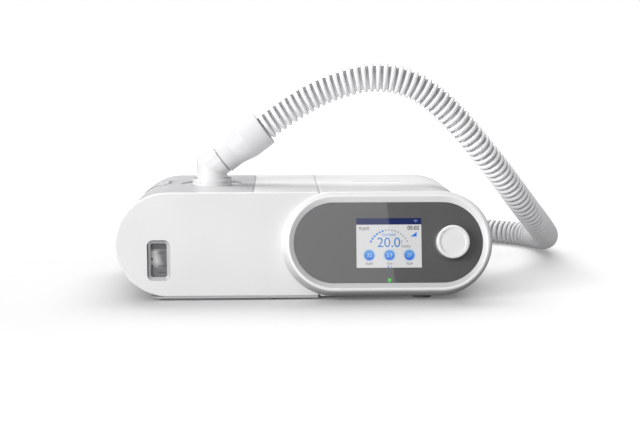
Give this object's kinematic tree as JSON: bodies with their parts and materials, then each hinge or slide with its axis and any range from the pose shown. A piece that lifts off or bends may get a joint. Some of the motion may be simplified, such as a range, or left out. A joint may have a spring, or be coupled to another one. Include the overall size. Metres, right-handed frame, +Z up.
{
  "type": "cpap machine",
  "caption": "Bedside breathing-therapy machine with a water tank, a tilted display module with a turning knob, a start bar and a corrugated hose on a swivel elbow.",
  "frame": {"origin": "middle of the machine's own box (hose left out), on the surface it stands on", "axes": "+Z up, -Y towards the user, +X to the user's right along the machine"},
  "size_m": [0.4261, 0.5048, 0.194],
  "materials": {
    "light_plastic": "fine satin moulding",
    "white_gloss": "gloss",
    "grey_plastic": "satin",
    "rubber_dark": "matt",
    "rubber_grey": "matt",
    "hose_grey": "satin, corrugated",
    "clear_tank": "translucent",
    "dark_glass": "gloss",
    "board_green": "solder resist",
    "display_black": "matt",
    "led_green": "lit",
    "steel": "brushed",
    "heater_metal": "brushed",
    "filter_white": "felt",
    "white_plastic": "satin"
  },
  "bodies": {
    "housing": {"base_tray": "grey_plastic", "feet": "rubber_dark", "front_plate": "light_plastic", "window_frame": "grey_plastic", "window_lens": "clear_tank", "bay_cover": "light_plastic", "main_housing": "light_plastic", "rear_panel": "light_plastic", "case_screws": "steel", "filter_door_pin": "steel", "filter_pad": "filter_white", "power_inlet": "display_black", "front_bezel": "light_plastic", "fascia_glass": "dark_glass", "display_panel": "display_black", "control_board": "board_green", "status_light": "led_green", "encoder_body": "grey_plastic", "start_switch": "board_green", "heater_plate": "heater_metal", "blower_casing": "grey_plastic", "blower_motor": "steel", "blower_mount": "rubber_dark", "air_duct": "rubber_dark", "duct_seal": "rubber_dark", "main_board": "board_green", "hose_tube": "hose_grey", "hose_coil": "hose_grey", "mask_cuff": "rubber_grey"},
    "tank": {"tank_tub": "clear_tank", "tank_lid": "light_plastic", "tank_seal": "rubber_dark", "tank_heat_plate": "heater_metal", "tank_inlet": "clear_tank", "release_spring": "steel"},
    "release": {"release_button": "light_plastic"},
    "elbow": {"elbow": "grey_plastic", "elbow_seal": "rubber_dark", "hose_cuff": "rubber_grey"},
    "encoder": {"encoder_plunger": "white_plastic"},
    "dial": {"knob": "white_gloss", "knob_shaft": "steel"},
    "start": {"start_bar": "white_gloss"},
    "fan": {"impeller": "grey_plastic", "motor_shaft": "steel"},
    "door": {"filter_door": "light_plastic"}
  },
  "joints": [
    {"name": "tank_slide", "type": "slide", "parent": "housing", "child": "tank", "axis": [-1, 0, 0], "range_m": [0, 0.118], "deforming": ["hose_tube"]},
    {"name": "elbow_swivel", "type": "hinge", "parent": "tank", "child": "elbow", "pos_m": [-0.079, 0.01, 0.095], "axis": [0, 0, 1], "range_deg": [-40, 40], "deforming": ["hose_tube"]},
    {"name": "release_push", "type": "slide", "parent": "tank", "child": "release", "axis": [0.3584, 0, -0.9336], "range_m": [0, 0.0025], "stiffness_N_per_m": 900, "springref_m": -0.001, "deforming": ["release_spring"]},
    {"name": "knob_push", "type": "slide", "parent": "housing", "child": "encoder", "axis": [0, 0.9781, -0.2079], "range_m": [0, 0.0005], "stiffness_N_per_m": 2500, "springref_m": -0.0005},
    {"name": "knob_turn", "type": "hinge", "parent": "encoder", "child": "dial", "pos_m": [0.1204, -0.0753, 0.0493], "axis": [0, -0.9781, 0.2079], "continuous": true},
    {"name": "start_push", "type": "slide", "parent": "housing", "child": "start", "axis": [0, 0, -1], "range_m": [0, 0.0008], "stiffness_N_per_m": 2000, "springref_m": -0.0004},
    {"name": "fan_spin", "type": "hinge", "parent": "housing", "child": "fan", "pos_m": [0.08, 0.034, 0.064], "axis": [0, 0, 1], "continuous": true},
    {"name": "filter_door_hinge", "type": "hinge", "parent": "housing", "child": "door", "pos_m": [0.0752, 0.0828, 0.0463], "axis": [0, 0, 1], "range_deg": [0, 95]}
  ]
}
